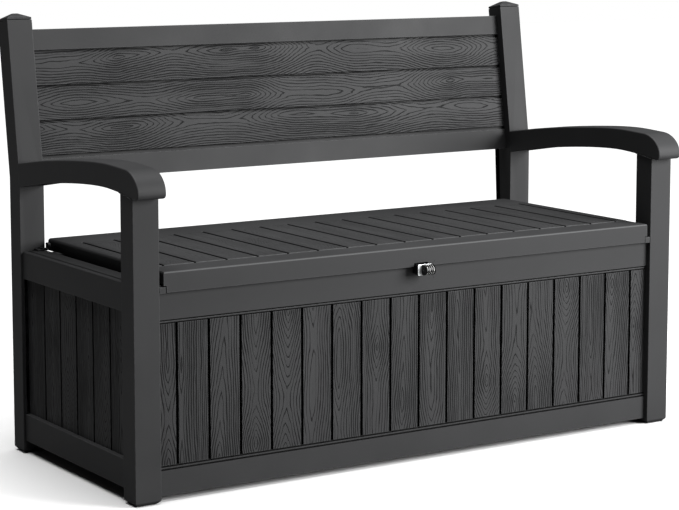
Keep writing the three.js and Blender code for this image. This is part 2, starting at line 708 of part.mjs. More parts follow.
function sidePanel() {
  const face = -halfWidth + SIDE_FACE;
  const plank = face + SIDE_RECESS;
  const back = -halfWidth + sideBack;
  const railLow = SIDE_BOTTOM + SIDE_RAIL_LOW;
  const railHigh = ledgeTop - SIDE_RAIL_HIGH;
  const ledgeEnd = -postInside - 2;
  const gutterEnd = -lidHalf + LID_WALL + 6;
  const from = FRONT_POST_DEPTH + GAP;
  const to = SEAT_DEPTH - GAP;
  const shape = outline([
    [face, SIDE_BOTTOM],
    [back, SIDE_BOTTOM],
    [back, railHigh + 10],
    [back, gutterTop - GUTTER_WALL],
    [gutterEnd, gutterTop - GUTTER_WALL],
    [gutterEnd, gutterTop],
    [ledgeEnd, gutterTop],
    [ledgeEnd, ledgeTop],
    [face + LEDGE_ROUND, ledgeTop],
    [face + LEDGE_ROUND * 0.29, ledgeTop - LEDGE_ROUND * 0.29],
    [face, ledgeTop - LEDGE_ROUND],
    [face, railHigh],
    [plank, railHigh],
    [plank, railLow],
    [face, railLow],
  ]);
  const shell = alongY(shape, from, to, [
    rectangle(face + PANEL_WALL, back - PANEL_WALL, SIDE_BOTTOM + PANEL_WALL, railLow - 4),
    rectangle(plank + SIDE_PLANK_WALL, back - PANEL_WALL, railLow + 4, railHigh - 4),
    rectangle(face + PANEL_WALL, back - PANEL_WALL, railHigh + 4, ledgeTop - LEDGE_ROUND - 3),
  ]);
  const grooves = [];
  const middle = (FRONT_POST_DEPTH + SEAT_DEPTH) / 2;
  for (let i = 0; i < SIDE_PLANKS - 1; i++) {
    const y = middle + (i - (SIDE_PLANKS - 2) / 2) * SIDE_PITCH;
    grooves.push(
      box(plank - 1, plank + SIDE_GROOVE_DEPTH, y - GROOVE_WIDTH / 2, y + GROOVE_WIDTH / 2, railLow, railHigh),
    );
  }
  return cut(
    joined(
      shell,
      tonguesAlongY(from - TONGUE_LENGTH, from + 1, 0),
      tonguesAlongY(to - 1, to + TONGUE_LENGTH, 0),
    ),
    ...grooves,
    rod("z", SCREW_RADIUS + PIN_CLEARANCE, gutterTop - 6, ledgeTop + 1, bracketScrewX, hingeY),
  );
}

const bracketPlateX = -postInside + 0.8; // outer face of the bracket's upright plate
const bracketScrewX = bracketPlateX - BRACKET_FOOT / 2;

for (const [side, sign] of sides) piece(`side_panel_${side}`, mirrored(sidePanel(), sign), resin);
piece("front_panel", frontPanel(), resin);
piece("rear_panel", rearPanel(), resin);
piece(
  "floor_panel",
  box(
    -halfWidth + sideBack + GAP, halfWidth - sideBack - GAP,
    Math.max(frontBack, FRONT_POST_DEPTH) + GAP, Math.min(rearFront, SEAT_DEPTH) - GAP,
    floorBottom, floorBottom + FLOOR_THICKNESS,
  ),
  resin,
);

// ---------------------------------------------------------------- lid, liner and hinges
function lidShell() {
  const plateUnder = SEAT_HEIGHT - LID_PLATE;
  const bandTop = SEAT_HEIGHT - LID_BAND_STEP;
  const top = joined(
    box(-lidHalf, lidHalf, 0, lidRear, plateUnder, bandTop),
    box(-lidHalf, lidHalf, LID_FRONT_BAND, lidRear, plateUnder, SEAT_HEIGHT),
  );
  const lip = box(-lidHalf, lidHalf, 0, LID_WALL, lipBottom, plateUnder + 1);
  const frontEdge = cut(
    box(-lidHalf - 1, lidHalf + 1, -1, LID_EDGE, bandTop - LID_EDGE, SEAT_HEIGHT + 1),
    rod("x", LID_EDGE, -lidHalf - 1, lidHalf + 1, LID_EDGE, bandTop - LID_EDGE, 24),
  );
  const endCorner = cut(
    box(-lidHalf - 1, -lidHalf + LID_CORNER, -1, lidRear + 1, SEAT_HEIGHT - LID_CORNER, SEAT_HEIGHT + 1),
    rod("y", LID_CORNER, -1, lidRear + 1, -lidHalf + LID_CORNER, SEAT_HEIGHT - LID_CORNER, 24),
  );
  const skirt = box(-lidHalf, -lidHalf + LID_WALL, 0, lidRear, skirtBottom, plateUnder + 1);
  const rear = box(-lidHalf, lidHalf, lidRear - LID_WALL, lidRear, skirtBottom + 3, plateUnder + 1);
  const knuckle = joined(
    rod("x", KNUCKLE_RADIUS, -lidHalf, -lidHalf + 17, hingeY, hingeZ),
    box(-lidHalf, -lidHalf + 17, hingeY - KNUCKLE_RADIUS, hingeY + KNUCKLE_RADIUS, hingeZ, plateUnder + 1),
  );
  const notch = box(-lidHalf - 1, -lidHalf + LID_NOTCH[0], -1, LID_WALL + 4, lipBottom - 1, lipBottom + LID_NOTCH[1]);
  const bracketRoom = box(
    -lidHalf - 1, -lidHalf + LID_RECESS[2],
    hingeY - LID_RECESS[0], hingeY - LID_RECESS[1],
    skirtBottom - 1, plateUnder - 3,
  );
  const bore = rod("x", PIN_RADIUS + PIN_CLEARANCE, -lidHalf - 1, -lidHalf + 20, hingeY, hingeZ);
  const lockRoom = box(
    LOCK_SHIFT - LOCK_BASE[0] / 2 - LOCK_CLEARANCE, LOCK_SHIFT + LOCK_BASE[0] / 2 + LOCK_CLEARANCE,
    -1, LID_WALL + 1,
    lipBottom - 1, lockZ + LOCK_BASE[1] / 2 + LOCK_CLEARANCE,
  );
  const grooves = [];
  for (let i = 0; i < FRONT_PLANKS - 1; i++) {
    const x = (i - (FRONT_PLANKS - 2) / 2) * PLANK_PITCH;
    grooves.push(
      box(
        x - LID_GROOVE_WIDTH / 2, x + LID_GROOVE_WIDTH / 2,
        LID_FRONT_BAND, LID_FRONT_BAND + LID_GROOVE_LENGTH,
        SEAT_HEIGHT - LID_GROOVE_DEPTH, SEAT_HEIGHT + 1,
      ),
    );
  }
  const flip = (body) => body.mirror([1, 0, 0]);
  return cut(
    joined(top, lip, skirt, flip(skirt), rear, knuckle, flip(knuckle)),
    notch, flip(notch), bracketRoom, flip(bracketRoom), bore, flip(bore), lockRoom,
    frontEdge, endCorner, flip(endCorner),
    ...strikeScrews.map((x) =>
      rod("z", SCREW_RADIUS + PIN_CLEARANCE, plateUnder - 1, plateUnder + SCREW_BITE + 0.5, x, strikeScrewY, 20)),
    ...grooves,
  );
}

function lidLiner() {
  const bottom = SEAT_HEIGHT - LINER_BELOW_SEAT;
  const top = SEAT_HEIGHT - LID_PLATE - GAP;
  const x = lidHalf - LINER_INSET;
  const rear = hingeY - KNUCKLE_RADIUS - 22;
  return cut(
    box(-x, x, LINER_FRONT, rear, bottom, top),
    box(-x + LINER_PLATE, x - LINER_PLATE, LINER_FRONT + LINER_PLATE, rear - LINER_PLATE, bottom + LINER_PLATE, top + 1),
  );
}

function hingeBracket() {
  const inner = bracketPlateX + BRACKET_THICKNESS;
  const y0 = hingeY - BRACKET_WIDTH / 2;
  const y1 = Math.min(hingeY + BRACKET_WIDTH / 2, SEAT_DEPTH - GAP);
  const plate = joined(
    box(bracketPlateX, inner, y0, y1, ledgeTop + GAP, hingeZ),
    rod("x", BRACKET_WIDTH / 2, bracketPlateX, inner, hingeY, hingeZ)
      .intersect(box(bracketPlateX - 1, inner + 1, y0 - 1, y1, hingeZ - 2, hingeZ + BRACKET_WIDTH)),
  );
  const foot = box(bracketPlateX - BRACKET_FOOT, bracketPlateX + 1, y0, y1, ledgeTop + GAP, ledgeTop + GAP + 3.5);
  return cut(
    joined(plate, foot),
    rod("x", PIN_RADIUS + PIN_CLEARANCE, bracketPlateX - 1, inner + 1, hingeY, hingeZ),
    rod("z", SCREW_RADIUS + PIN_CLEARANCE, ledgeTop, ledgeTop + 8, bracketScrewX, hingeY),
  );
}

function bracketScrew() {
  const seat = ledgeTop + GAP + 3.5 + 0.3;
  return joined(
    rod("z", SCREW_RADIUS, ledgeTop - 10, seat + 0.01, bracketScrewX, hingeY, 20),
    rod("z", SCREW_HEAD[0], seat, seat + SCREW_HEAD[1], bracketScrewX, hingeY, 20),
  );
}

piece("lid_shell", lidShell(), resin);
piece("lid_liner", lidLiner(), resin);
for (const [side, sign] of sides) {
  piece(`hinge_bracket_${side}`, mirrored(hingeBracket(), sign), resin);
  piece(
    `hinge_pin_${side}`,
    mirrored(rod("x", PIN_RADIUS, bracketPlateX, bracketPlateX + PIN_LENGTH - 6, hingeY, hingeZ), sign),
    steel,
  );
  piece(`hinge_screw_${side}`, mirrored(bracketScrew(), sign), steel);
}

// ---------------------------------------------------------------- backrest
function backrest() {
  const low = -BACK_BELOW_BEND;
  const front = BACK_RECESS;
  const back = BACK_RECESS + BACK_THICKNESS;
  const boardsLow = low + BACK_RAIL_LOW;
  const boardsHigh = boardsLow + BACK_BOARDS * BACK_BOARD;
  const levels = [];
  for (let i = 0; i <= BACK_BOARDS; i++) levels.push(boardsLow + i * BACK_BOARD);
  const [grooveHeight, grooveDepth, grooveDrop] = BACK_GROOVE;
  const facing = (y, inward) => [
    box(-panelHalf - 1, panelHalf + 1, y - 1, y + 1, boardsLow, boardsHigh).translate([0, inward * (BACK_BOARD_STEP - 1), 0]),
    ...levels.map((z) =>
      box(
        -panelHalf - 1, panelHalf + 1,
        Math.min(y - inward, y + inward * grooveDepth), Math.max(y - inward, y + inward * grooveDepth),
        z - grooveDrop - grooveHeight / 2, z - grooveDrop + grooveHeight / 2,
      )),
  ];
  const sections = [
    [low, boardsLow],
    ...levels.slice(0, -1).map((z) => [z, z + BACK_BOARD]),
    [boardsHigh, backTop],
  ];
  return cut(
    alongX(
      rectangle(front, back, low, backTop),
      -panelHalf,
      panelHalf,
      sections.map(([from, to]) =>
        rectangle(
          front + BACK_BOARD_STEP + BACK_WALL, back - BACK_BOARD_STEP - BACK_WALL,
          from + BACK_WALL + 1, to - BACK_WALL - 1,
        )),
    ),
    ...facing(front, 1),
    ...facing(back, -1),
  );
}

piece("backrest", backrest(), resin, leaning);
for (const [side, sign] of sides) {
  ["lower", "upper"].forEach((level, i) => {
    const reach = PEG_SIZE[0];
    const peg = box(...pegBox(pegHeights[i], -postInside - reach / 2, -postInside + reach / 2, 0));
    piece(`back_peg_${level}_${side}`, mirrored(peg, sign), blackPlastic, leaning);
  });
}

// ---------------------------------------------------------------- lock
function lockBody() {
  const [width, height, reach] = LOCK_BASE;
  return cut(
    joined(
      alongY(roundedRectangle(width, height, 3, LOCK_SHIFT, lockZ), -reach, FRONT_FACE - GAP),
      rod("y", LOCK_BARREL, FRONT_FACE - GAP - 0.01, nutBack, 0, lockZ),
    ),
    rod("y", SPINDLE_RADIUS + PIN_CLEARANCE, -reach - 1, nutBack + 1, 0, lockZ),
  );
}

function lockPlate() {
  const [width, height, thickness] = LOCK_PLATE;
  const windowHalf = drumHalf + CHEEK + PIN_CLEARANCE;
  const windowHeight = Math.sqrt(DRUM_RADIUS ** 2 - DRUM_PROUD ** 2) + PIN_CLEARANCE;
  return cut(
    alongY(roundedRectangle(width, height, 3, LOCK_SHIFT, lockZ), plateFront, plateFront + thickness),
    box(
      -windowHalf, windowHalf, plateFront - 1, plateFront + thickness + 1,
      lockZ - windowHeight, lockZ + windowHeight,
    ),
  );
}

// The turning block, with a round cheek at each end of the number wheels.
function lockKnob() {
  const [width, height] = LOCK_KNOB;
  const cheek = rod("x", DRUM_RADIUS, -drumHalf - CHEEK, -drumHalf, drumY, lockZ, 40);
  return cut(
    joined(
      alongY(roundedRectangle(width, height, 3, LOCK_SHIFT, lockZ), knobFront, knobBack),
      cheek,
      cheek.mirror([1, 0, 0]),
    ),
    rod("x", WHEEL_RADIUS + WHEEL_ROOM, -drumHalf, drumHalf, drumY, lockZ, 48),
    rod("x", AXLE_RADIUS + 0.1, -drumHalf - CHEEK - 1, drumHalf + CHEEK + 1, drumY, lockZ, 20),
  );
}

function lockCam() {
  const [width, , reach] = CAM_SIZE;
  return cut(
    joined(
      rod("y", NUT_ACROSS / 2 - 1, camFront, camBack, 0, lockZ),
      box(-width / 2, width / 2, camFront, camBack, lockZ, lockZ + reach),
    ),
    rod("y", SPINDLE_RADIUS + PIN_CLEARANCE, camFront - 1, camBack + 1, 0, lockZ),
  );
}

function lockStrike() {
  const x0 = STRIKE_OFFSET - STRIKE_WIDTH / 2;
  const x1 = STRIKE_OFFSET + STRIKE_WIDTH / 2;
  const low = lockZ - CAM_SIZE[0] / 2 - 4;
  return cut(
    joined(
      box(x0, x1, strikeFront, strikeFront + STRIKE_THICKNESS, low - STRIKE_THICKNESS, strikeTop),
      box(x0, x1, camFront - 0.5, strikeFront + STRIKE_THICKNESS, low - STRIKE_THICKNESS, low),
      box(x0 - 8, x1 + 8, strikeFront, strikeFront + 20, strikeTop - STRIKE_THICKNESS, strikeTop),
    ),
    ...strikeScrews.map((x) =>
      rod("z", SCREW_RADIUS + PIN_CLEARANCE, strikeTop - 5, strikeTop + 1, x, strikeScrewY, 20)),
  );
}

function strikeScrew(x) {
  const head = strikeTop - STRIKE_THICKNESS - PIN_CLEARANCE;
  return joined(
    rod("z", SCREW_RADIUS, head - 0.01, SEAT_HEIGHT - LID_PLATE + SCREW_BITE, x, strikeScrewY, 20),
    rod("z", SCREW_HEAD[0], head - SCREW_HEAD[1], head, x, strikeScrewY, 20),
  );
}

piece("lock_body", lockBody(), blackPlastic);
piece("lock_plate", lockPlate(), steel);
piece("lock_knob", lockKnob(), blackPlastic);
piece("lock_spindle", rod("y", SPINDLE_RADIUS, knobBack + GAP, camBack + 3, 0, lockZ, 24), steel);
piece("lock_cam", lockCam(), steel);
piece(
  "lock_nut",
  cut(
    rod("y", NUT_ACROSS / Math.sqrt(3), frontBack + GAP, nutBack, 0, lockZ, 6),
    rod("y", LOCK_BARREL + 0.1, frontBack, nutBack + 1, 0, lockZ),
  ),
  steel,
);
piece("wheel_axle", rod("x", AXLE_RADIUS, -drumHalf - CHEEK, drumHalf + CHEEK, drumY, lockZ, 20), steel);
for (let i = 0; i < WHEELS; i++) {
  const x = (i - (WHEELS - 1) / 2) * WHEEL_PITCH;
  piece(
    `number_wheel_${i + 1}`,
    cut(
      rod("x", WHEEL_RADIUS, x - WHEEL_WIDTH / 2, x + WHEEL_WIDTH / 2, drumY, lockZ, 40),
      rod("x", WHEEL_BORE, x - WHEEL_WIDTH, x + WHEEL_WIDTH, drumY, lockZ, 20),
    ),
    blackPlastic,
  );
}
piece("lock_strike", lockStrike(), steel);
strikeScrews.forEach((x, i) => piece(`strike_screw_${i + 1}`, strikeScrew(x), steel));

// The bench stands on z = 0, centred over the origin from the arm noses or the lock to the raked post tops.
const frontmost = Math.min(-ARM_NOSE_REACH, drumY - DRUM_RADIUS);
bench.position.y = -(frontmost + postTopBack.x) / 2;

export default bench;
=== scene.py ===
import json
import math

import bmesh
import bpy
from bpy.props import FloatProperty, FloatVectorProperty, IntProperty, PointerProperty
from bpy.types import Operator, Panel, PropertyGroup
from mathutils import Euler, Matrix, Vector


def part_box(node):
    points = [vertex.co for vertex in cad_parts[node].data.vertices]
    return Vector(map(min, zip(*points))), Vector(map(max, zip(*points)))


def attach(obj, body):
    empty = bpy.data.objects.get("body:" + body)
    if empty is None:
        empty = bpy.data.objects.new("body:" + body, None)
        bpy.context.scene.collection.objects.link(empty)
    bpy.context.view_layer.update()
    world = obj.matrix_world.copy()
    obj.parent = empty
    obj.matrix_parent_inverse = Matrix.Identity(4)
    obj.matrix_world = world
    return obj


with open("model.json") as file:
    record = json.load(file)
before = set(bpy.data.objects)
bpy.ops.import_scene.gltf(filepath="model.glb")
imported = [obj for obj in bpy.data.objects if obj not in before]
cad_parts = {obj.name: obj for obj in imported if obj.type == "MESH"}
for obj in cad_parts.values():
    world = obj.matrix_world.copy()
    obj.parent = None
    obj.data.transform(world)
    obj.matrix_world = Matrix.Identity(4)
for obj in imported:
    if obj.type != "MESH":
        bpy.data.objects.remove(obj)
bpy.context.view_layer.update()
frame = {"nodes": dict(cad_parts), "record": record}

bl_info = {
    "name": "Storage bench",
    "version": (1, 0, 0),
    "blender": (4, 5, 0),
    "location": "3D View > Sidebar > Storage bench",
    "description": "Finishes a moulded resin storage bench: wood figure, edges, lock, and a studio round it",
    "category": "Object",
}

SIDES = ("left", "right")
NEAR_BLACK = (0.0012, 0.0012, 0.0014, 1.0)

# the panels: ends of the long planks, the beads past them, and how deep each plank's face lies
PLANK_ENDS = (0.0674, 0.3316)
BEAD = 0.0054
QUIRK = 0.003
FRONT_PLANK_FACE = 0.0135
REAR_PLANK_FACE = 0.004
SIDE_PLANK_FACE = 0.0095
SIDE_RAIL = 0.0545

# the backrest and the lid
BEND_HEIGHT = 0.557
BACK_RAIL_TOP = 0.0403
LID_FRONT_BAND = 0.064
SLAT_LENGTH = 0.337
OUTER_SLATS = 8.5

# how strongly the carved figure shows, and how strong the painted highlight on the lid's front top edge is
PLANK_STRENGTH = 0.86
BACK_STRENGTH = 0.8
SLAT_STRENGTH = 0.35
EDGE_HIGHLIGHT_STRENGTH = 0.3
DIGIT_NARROWING = 0.55

# the camera, in metres and degrees, and the key light
CAMERA_PLACE = (-2.3762, -3.6573, 1.0579)
CAMERA_DIP = 7.058
CAMERA_TURN = -32.809
KEY_PLACE = (2.15, -2.75, 1.45)
KEY_TARGET = (0.2, -0.2, 0.45)
KEY_SIZE = (1.9, 1.9)


# ---------------------------------------------------------------- places read from the frame
def low(node):
    return Vector(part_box(node)[0])


def high(node):
    return Vector(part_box(node)[1])


def middle(node):
    return (low(node) + high(node)) / 2


def node_object(node):
    return frame["nodes"][node]


def body_of_node(node):
    for name, nodes in frame["record"]["behaviour"]["bodies"].items():
        if node in nodes:
            return name
    raise RuntimeError(f"{node} belongs to no body")


# ---------------------------------------------------------------- settings
class BENCH_PG_resin(PropertyGroup):
    colour: FloatVectorProperty(
        name="Resin", description="Colour of the moulded resin", subtype="COLOR", size=4,
        min=0, max=1, default=(0.0225, 0.0227, 0.0234, 1.0),
    )
    worn_colour: FloatVectorProperty(
        name="Scuffed and highlighted edge", description="Colour of the resin along its edges: scuffed lighter, and a painted highlight", subtype="COLOR",
        size=4, min=0, max=1, default=(0.12, 0.121, 0.124, 1.0),
    )
    groove_colour: FloatVectorProperty(
        name="Grooves", description="Painted shade down in the grooves, also used for the grain lines", subtype="COLOR", size=4,
        min=0, max=1, default=NEAR_BLACK,
    )
    roughness: FloatProperty(
        name="Roughness", description="Roughness of the moulded skin", default=0.56, min=0.1, max=1,
    )
    wear: FloatProperty(name="Edge lightening", description="How much the edges are lightened by scuffing and by a painted highlight", default=0.5, min=0, max=1)
    edge: FloatProperty(
        name="Edge radius", description="Rounding of the posts' and panels' edges", default=0.0014,
        min=0, unit="LENGTH",
    )
    fine_edge: FloatProperty(
        name="Fine edge", description="Rounding of the boards' and the lid's edges", default=0.0006,
        min=0, unit="LENGTH",
    )
    arm_edge: FloatProperty(
        name="Armrest edge", description="Rounding of the armrests' edges", default=0.0028,
        min=0, unit="LENGTH",
    )


class BENCH_PG_boards(PropertyGroup):
    plank_pitch: FloatProperty(
        name="Front plank pitch", description="Middle to middle of the front planks", default=0.0675,
        min=0.01, unit="LENGTH",
    )
    side_pitch: FloatProperty(
        name="Side plank pitch", description="Middle to middle of the side planks", default=0.071,
        min=0.01, unit="LENGTH",
    )
    back_pitch: FloatProperty(
        name="Back board pitch", description="Middle to middle of the backrest's boards", default=0.07,
        min=0.01, unit="LENGTH",
    )
    rake: FloatProperty(
        name="Rake", description="Lean of the backrest", default=math.radians(8.1), subtype="ANGLE",
    )
    ring: FloatProperty(
        name="Ring spacing", description="Distance between the carved grain lines", default=0.0046,
        min=0.0005, unit="LENGTH",
    )
    line: FloatProperty(
        name="Grain line", description="Width of a carved grain line", default=0.0026,
        min=0.0001, unit="LENGTH",
    )
    depth: FloatProperty(
        name="Grain depth", description="Depth of the carved grain lines", default=0.0006,
        min=0, unit="LENGTH",
    )


class BENCH_PG_lock(PropertyGroup):
    digit_height: FloatProperty(
        name="Digit height", description="Height of the numbers on the wheels", default=0.0032,
        min=0.0005, unit="LENGTH",
    )
    digits: IntProperty(name="Digits", description="Numbers round each wheel", default=10, min=2, max=10)
    digit_colour: FloatVectorProperty(
        name="Digit colour", description="Paint of the numbers", subtype="COLOR", size=4, min=0, max=1,
        default=(0.85, 0.85, 0.83, 1.0),
    )


class BENCH_PG_stage(PropertyGroup):
    floor_colour: FloatVectorProperty(
        name="Floor", description="Colour of the floor", subtype="COLOR", size=4, min=0, max=1,
        default=(0.6, 0.6, 0.6, 1.0),
    )
    floor_bounce: FloatVectorProperty(
        name="Floor bounce", description="Colour of the light the floor throws back", subtype="COLOR", size=4,
        min=0, max=1, default=(0.18, 0.18, 0.18, 1.0),
    )
    key_power: FloatProperty(
        name="Key light", description="Power of the key light", default=330, min=0, unit="POWER",
    )
    sky: FloatProperty(name="Overhead", description="Strength of the soft light overhead", default=5.8, min=0)
    sky_angle: FloatProperty(
        name="Overhead spread", description="Width of the soft light overhead", default=math.radians(50),
        min=0, subtype="ANGLE",
    )
    ambient: FloatProperty(name="Ambient", description="Strength of the light all round", default=0.02, min=0)
    lens: FloatProperty(name="Lens", description="Focal length in millimetres", default=113.5, min=1)


# ---------------------------------------------------------------- shader building
class Nodes:
    """Adds nodes to one node tree, each fed by sockets or plain values."""

    def __init__(self, tree):
        self.tree = tree
        self.count = 0

    def add(self, kind, inputs=None, **settings):
        node = self.tree.nodes.new(kind)
        node.location = (220 * (self.count % 12), -260 * (self.count // 12))
        self.count += 1
        for name, value in settings.items():
            setattr(node, name, value)
        for name, value in (inputs or {}).items():
            self.feed(node.inputs[name], value)
        return node

    def feed(self, socket, value):
        if isinstance(value, bpy.types.NodeSocket):
            self.tree.links.new(value, socket)
        else:
            socket.default_value = value

    def math(self, operation, *values, clamp=False):
        node = self.add("ShaderNodeMath", operation=operation, use_clamp=clamp)
        for socket, value in zip(node.inputs, values):
            self.feed(socket, value)
        return node.outputs[0]

    def step(self, value, start, end, out_start=0.0, out_end=1.0):
        inputs = {"Value": value, "From Min": start, "From Max": end, "To Min": out_start, "To Max": out_end}
        return self.add("ShaderNodeMapRange", inputs, interpolation_type="SMOOTHSTEP").outputs["Result"]

    def span(self, value, start, end, out_start=0.0, out_end=1.0):
        inputs = {"Value": value, "From Min": start, "From Max": end, "To Min": out_start, "To Max": out_end}
        return self.add("ShaderNodeMapRange", inputs).outputs["Result"]

    def vector(self, x=0.0, y=0.0, z=0.0):
        return self.add("ShaderNodeCombineXYZ", {"X": x, "Y": y, "Z": z}).outputs[0]

    def parts(self, vector):
        return self.add("ShaderNodeSeparateXYZ", {"Vector": vector}).outputs

    def noise(self, vector, scale=1.0, detail=2.0, rough=0.5):
        inputs = {"Vector": vector, "Scale": scale, "Detail": detail, "Roughness": rough}
        return self.add("ShaderNodeTexNoise", inputs).outputs["Fac"]

    def mix(self, factor, a, b, blend="MIX"):
        node = self.add("ShaderNodeMix", data_type="RGBA", blend_type=blend)
        for index, value in ((0, factor), (6, a), (7, b)):
            self.feed(node.inputs[index], value)
        return node.outputs[2]

    def tinted(self, colour, tone):
        """The colour made lighter or darker by a tone round 1."""
        return self.mix(1.0, colour, self.vector(tone, tone, tone), "MULTIPLY")

    def group(self, tree, **inputs):
        named = {name.replace("_", " ").capitalize(): value for name, value in inputs.items()}
        return self.add("ShaderNodeGroup", named, node_tree=tree).outputs


def new_group(name, inputs, outputs):
    tree = bpy.data.node_groups.new(name, "ShaderNodeTree")
    for label, kind, value in inputs:
        socket = tree.interface.new_socket(label, in_out="INPUT", socket_type=kind)
        if value is not None:
            socket.default_value = value
    for label, kind in outputs:
        tree.interface.new_socket(label, in_out="OUTPUT", socket_type=kind)
    nodes = Nodes(tree)
    source = nodes.add("NodeGroupInput").outputs
    sink = nodes.add("NodeGroupOutput").inputs
    return tree, nodes, source, sink


NUMBER = "NodeSocketFloat"
VECTOR = "NodeSocketVector"


def board_figure():
    """Carved grain of a plain-sawn board: rings that rise to arches and close into knots."""
    tree, n, source, sink = new_group(
        "Board figure",
        [
            ("Across", NUMBER, 0.0), ("Along", NUMBER, 0.0), ("Board", NUMBER, 0.07), ("Ring", NUMBER, 0.004),
            ("Line", NUMBER, 0.001), ("Sweep", NUMBER, 0.12), ("Seed", NUMBER, 0.0),
        ],
        [("Lines", NUMBER), ("Tone", NUMBER), ("Height", NUMBER)],
    )
    across, along, board, ring, line, sweep, seed = [source[i] for i in range(7)]
    cell = n.math("FLOOR", n.math("DIVIDE", across, board))
    local = n.math("SUBTRACT", across, n.math("MULTIPLY", n.math("ADD", cell, 0.5), board))
    chance = n.add("ShaderNodeTexWhiteNoise", {"Vector": n.vector(cell, seed, 0.37)}).outputs["Color"]
    first, second, third = n.add("ShaderNodeSeparateColor", {"Color": chance}).outputs[:3]
    run = n.math("DIVIDE", along, sweep)
    lane = n.math("MULTIPLY_ADD", cell, 7.31, seed)
    shifted = n.math("MULTIPLY_ADD", second, 40.0, run)

    def stretched(sideways, lengthways):
        return n.vector(n.math("MULTIPLY", local, sideways), n.math("MULTIPLY", shifted, lengthways), lane)

    # the pith wanders sideways and in depth below the board's face
    side = n.noise(n.vector(shifted, lane, 3.7), 0.9, 1.0)
    aside = n.math("SUBTRACT", n.math("ADD", side, n.math("MULTIPLY", first, 0.55)), 0.78)
    pith = n.math("MULTIPLY", aside, board)
    depth_noise = n.noise(n.vector(shifted, lane, 11.3), 1.25, 1.5)
    depth = n.math("MULTIPLY", n.math("SUBTRACT", depth_noise, 0.5), 0.24)
    reach = n.math("SUBTRACT", local, pith)
    # an exponent under 2 draws the rings out to points
    point = 1.35
    spread = n.math("POWER", n.math("ABSOLUTE", reach), point)
    below = n.math("POWER", n.math("ABSOLUTE", depth), point)
    radius = n.math("POWER", n.math("ADD", spread, below), 1.0 / point)
    # the rings waver slowly along the board
    waver = n.noise(stretched(42.0, 4.5), 1.0, 3.0, 0.6)
    bend = n.math("MULTIPLY", n.math("SUBTRACT", waver, 0.5), 2.0)
    phase = n.math("ADD", n.math("DIVIDE", radius, ring), n.math("ADD", bend, n.math("MULTIPLY", third, 5.0)))
    off = n.math("ABSOLUTE", n.math("SUBTRACT", n.math("FRACT", phase), 0.5))
    gap = n.math("MULTIPLY", n.math("SUBTRACT", 0.5, off), ring)
    lean = n.math("MAXIMUM", n.math("DIVIDE", n.math("ABSOLUTE", reach), n.math("ADD", radius, 0.0001)), 0.3)
    distance = n.math("DIVIDE", gap, lean)
    half = n.math("MULTIPLY", line, 0.5)
    carved = n.step(distance, n.math("MULTIPLY", half, 0.35), n.math("MULTIPLY", half, 1.5), 1.0, 0.0)
    fading = n.noise(stretched(160.0, 2.2), 1.0, 2.0)
    lines = n.math("MULTIPLY", carved, n.step(fading, 0.32, 0.52, 0.35, 1.0))
    fibre = n.noise(
        n.vector(n.math("MULTIPLY", local, 900.0), n.math("MULTIPLY", along, 26.0), lane), 1.0, 3.0, 0.65,
    )
    clouds = n.noise(stretched(30.0, 1.3), 1.0, 2.0)
    n.feed(sink["Lines"], lines)
    tone = n.math("ADD", n.math("MULTIPLY", fibre, 0.5), n.math("MULTIPLY", clouds, 0.5))
    n.feed(sink["Tone"], tone)
    n.feed(sink["Height"], n.math("SUBTRACT", n.math("MULTIPLY", fibre, 0.3), lines))
    return tree


def moulded_skin():
    """Fine pebble of a moulded face, with slow changes of tone over it."""
    tree, n, source, sink = new_group(
        "Moulded skin",
        [("Place", VECTOR, None), ("Pebble", NUMBER, 650.0), ("Patches", NUMBER, 5.0)],
        [("Height", NUMBER), ("Tone", NUMBER), ("Gloss", NUMBER)],
    )
    place, pebble, patches = source[0], source[1], source[2]
    fine = n.noise(place, pebble, 3.0, 0.6)
    broad = n.noise(place, patches, 4.0, 0.6)
    n.feed(sink["Height"], fine)
    n.feed(sink["Tone"], n.math("MULTIPLY_ADD", fine, 0.3, n.math("MULTIPLY", broad, 0.7)))
    n.feed(sink["Gloss"], broad)
    return tree


def edge_wear():
    """A broken band along the edges, used to lighten them: scuffing, and on the resin also a painted
    highlight.
    """
    tree, n, source, sink = new_group(
        "Edge lightening",
        [("Place", VECTOR, None), ("Radius", NUMBER, 0.002), ("Amount", NUMBER, 0.5)],
        [("Mask", NUMBER)],
    )
    place, radius, amount = source[0], source[1], source[2]
    rounded = n.add("ShaderNodeBevel", {"Radius": radius}, samples=4).outputs[0]
    true = n.add("ShaderNodeNewGeometry").outputs["Normal"]
    agree = n.add("ShaderNodeVectorMath", operation="DOT_PRODUCT")
    n.feed(agree.inputs[0], rounded)
    n.feed(agree.inputs[1], true)
    band = n.span(agree.outputs["Value"], 1.0, 0.86, 0.0, 1.0)
    rub = n.step(n.noise(place, 95.0, 4.0, 0.6), 0.34, 0.62, 0.25, 1.0)
    n.feed(sink["Mask"], n.math("MULTIPLY", n.math("MULTIPLY", band, rub), amount, clamp=True))
    return tree


def new_material(name):
    material = bpy.data.materials.new(name)
    material.use_nodes = True
    material.node_tree.nodes.clear()
    nodes = Nodes(material.node_tree)
    shader = nodes.add("ShaderNodeBsdfPrincipled")
    output = nodes.add("ShaderNodeOutputMaterial")
    material.node_tree.links.new(shader.outputs[0], output.inputs["Surface"])
    return material, nodes, shader.inputs


def group_named(name):
    tree = bpy.data.node_groups.get(name)
    if tree is None:
        raise RuntimeError(f"{name} is made by the finishes operator, which runs first")
    return tree


